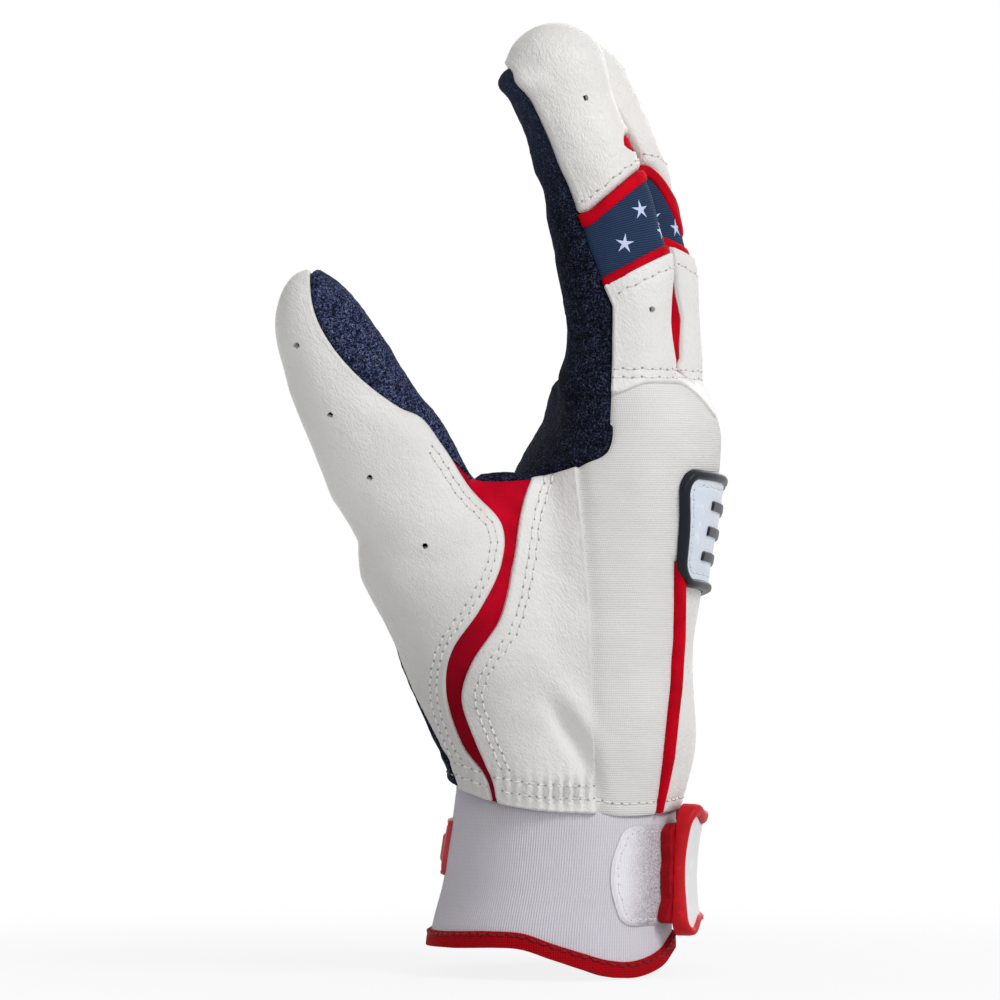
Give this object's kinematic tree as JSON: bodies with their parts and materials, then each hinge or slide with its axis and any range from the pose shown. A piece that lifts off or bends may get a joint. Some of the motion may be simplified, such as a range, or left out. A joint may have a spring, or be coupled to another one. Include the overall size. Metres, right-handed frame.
{
  "type": "batting glove",
  "caption": "Right-hand batting glove: leather palm, stretch back, flex inserts at the finger joints, and a cuff with a hook-and-loop wrist strap.",
  "frame": {"origin": "centre of the wrist opening, level with its bound edge", "axes": "+Z from the wrist to the fingertips, +X out of the back of the hand, -Y towards the thumb side"},
  "size_m": [0.1103, 0.1111, 0.2297],
  "materials": {
    "tip_leather": "smooth white goatskin with fine grain and pin vents",
    "white_leather": "soft white sheepskin, pebbled and creased at the bends",
    "navy_leather": "navy palm leather with an embossed grip pattern",
    "red_leather": "red stretch leather, matt",
    "red_trim": "folded red edge binding",
    "flex_fabric": "navy knit with small white five-point stars",
    "stretch_fabric": "white four-way stretch fabric, finely ribbed",
    "cuff_neoprene": "white knit-faced neoprene",
    "red_binding": "red knit binding, lockstitched",
    "loop_fabric": "white brushed loop tape",
    "hook_fabric": "white moulded hook tape",
    "badge_rubber": "navy moulded rubber, satin gloss",
    "badge_field": "pale blue-white moulded rubber",
    "red_rubber": "red moulded rubber, satin gloss",
    "strap_face": "white moulded rubber face",
    "strap_web": "white knit strap backing"
  },
  "bodies": {
    "hand": {"index_flex_insert": "flex_fabric", "index_lower_trim": "red_trim", "index_palm_crease": "navy_leather", "middle_flex_insert": "flex_fabric", "middle_lower_trim": "red_trim", "middle_palm_crease": "navy_leather", "ring_flex_insert": "flex_fabric", "ring_lower_trim": "red_trim", "ring_palm_crease": "navy_leather", "little_flex_insert": "flex_fabric", "little_lower_trim": "red_trim", "little_palm_crease": "navy_leather", "thumb_crease": "white_leather", "thumb_patch_crease": "navy_leather", "thumb_leather": "white_leather", "thumb_gusset": "red_leather", "thumb_palm_patch": "navy_leather", "index_middle_fourchette": "red_leather", "middle_ring_fourchette": "red_leather", "ring_little_fourchette": "red_leather", "side_leather": "white_leather", "palm_leather": "navy_leather", "knuckle_leather": "white_leather", "little_side_leather": "white_leather", "thumb_side_piping": "red_trim", "little_side_piping": "red_trim", "centre_back_panel": "white_leather", "back_stretch_panel": "stretch_fabric", "badge_rim": "badge_rubber", "badge_field": "badge_field", "cuff": "cuff_neoprene", "cuff_binding": "red_binding", "loop_patch": "loop_fabric", "wrist_label": "red_rubber", "strap_bend": "strap_web", "strap_anchor": "strap_web"},
    "index_tip": {"index_tip_leather": "tip_leather", "index_tip_palm": "navy_leather", "index_upper_trim": "red_trim"},
    "middle_tip": {"middle_tip_leather": "tip_leather", "middle_tip_palm": "navy_leather", "middle_upper_trim": "red_trim"},
    "ring_tip": {"ring_tip_leather": "tip_leather", "ring_tip_palm": "navy_leather", "ring_upper_trim": "red_trim"},
    "little_tip": {"little_tip_leather": "tip_leather", "little_tip_palm": "navy_leather", "little_upper_trim": "red_trim"},
    "thumb_tip": {"thumb_tip_leather": "white_leather", "thumb_tip_patch": "navy_leather"},
    "strap": {"strap_frame": "red_rubber", "strap_face": "strap_face", "strap_hook_patch": "hook_fabric"}
  },
  "joints": [
    {"name": "index_flex", "type": "hinge", "parent": "hand", "child": "index_tip", "pos_m": [0.01327, -0.0305, 0.16811], "axis": [0, -1, 0], "range_deg": [0, 70], "deforming": ["index_flex_insert", "index_palm_crease"]},
    {"name": "middle_flex", "type": "hinge", "parent": "hand", "child": "middle_tip", "pos_m": [0.01957, -0.0083, 0.16914], "axis": [0, -1, 0], "range_deg": [0, 70], "deforming": ["middle_flex_insert", "middle_palm_crease"]},
    {"name": "ring_flex", "type": "hinge", "parent": "hand", "child": "ring_tip", "pos_m": [0.01812, 0.0137, 0.16332], "axis": [0, -1, 0], "range_deg": [0, 70], "deforming": ["ring_flex_insert", "ring_palm_crease"]},
    {"name": "little_flex", "type": "hinge", "parent": "hand", "child": "little_tip", "pos_m": [0.01662, 0.0346, 0.15011], "axis": [0, -1, 0], "range_deg": [0, 70], "deforming": ["little_flex_insert", "little_palm_crease"]},
    {"name": "thumb_flex", "type": "hinge", "parent": "hand", "child": "thumb_tip", "pos_m": [-0.0482, -0.054, 0.132], "axis": [0, 1, 0], "range_deg": [0, 45], "deforming": ["thumb_crease", "thumb_patch_crease"]},
    {"name": "strap_open", "type": "hinge", "parent": "hand", "child": "strap", "pos_m": [0.0232, 0.029, 0.0194], "axis": [0, 0, 1], "range_deg": [0, 120], "deforming": ["strap_bend"]}
  ]
}
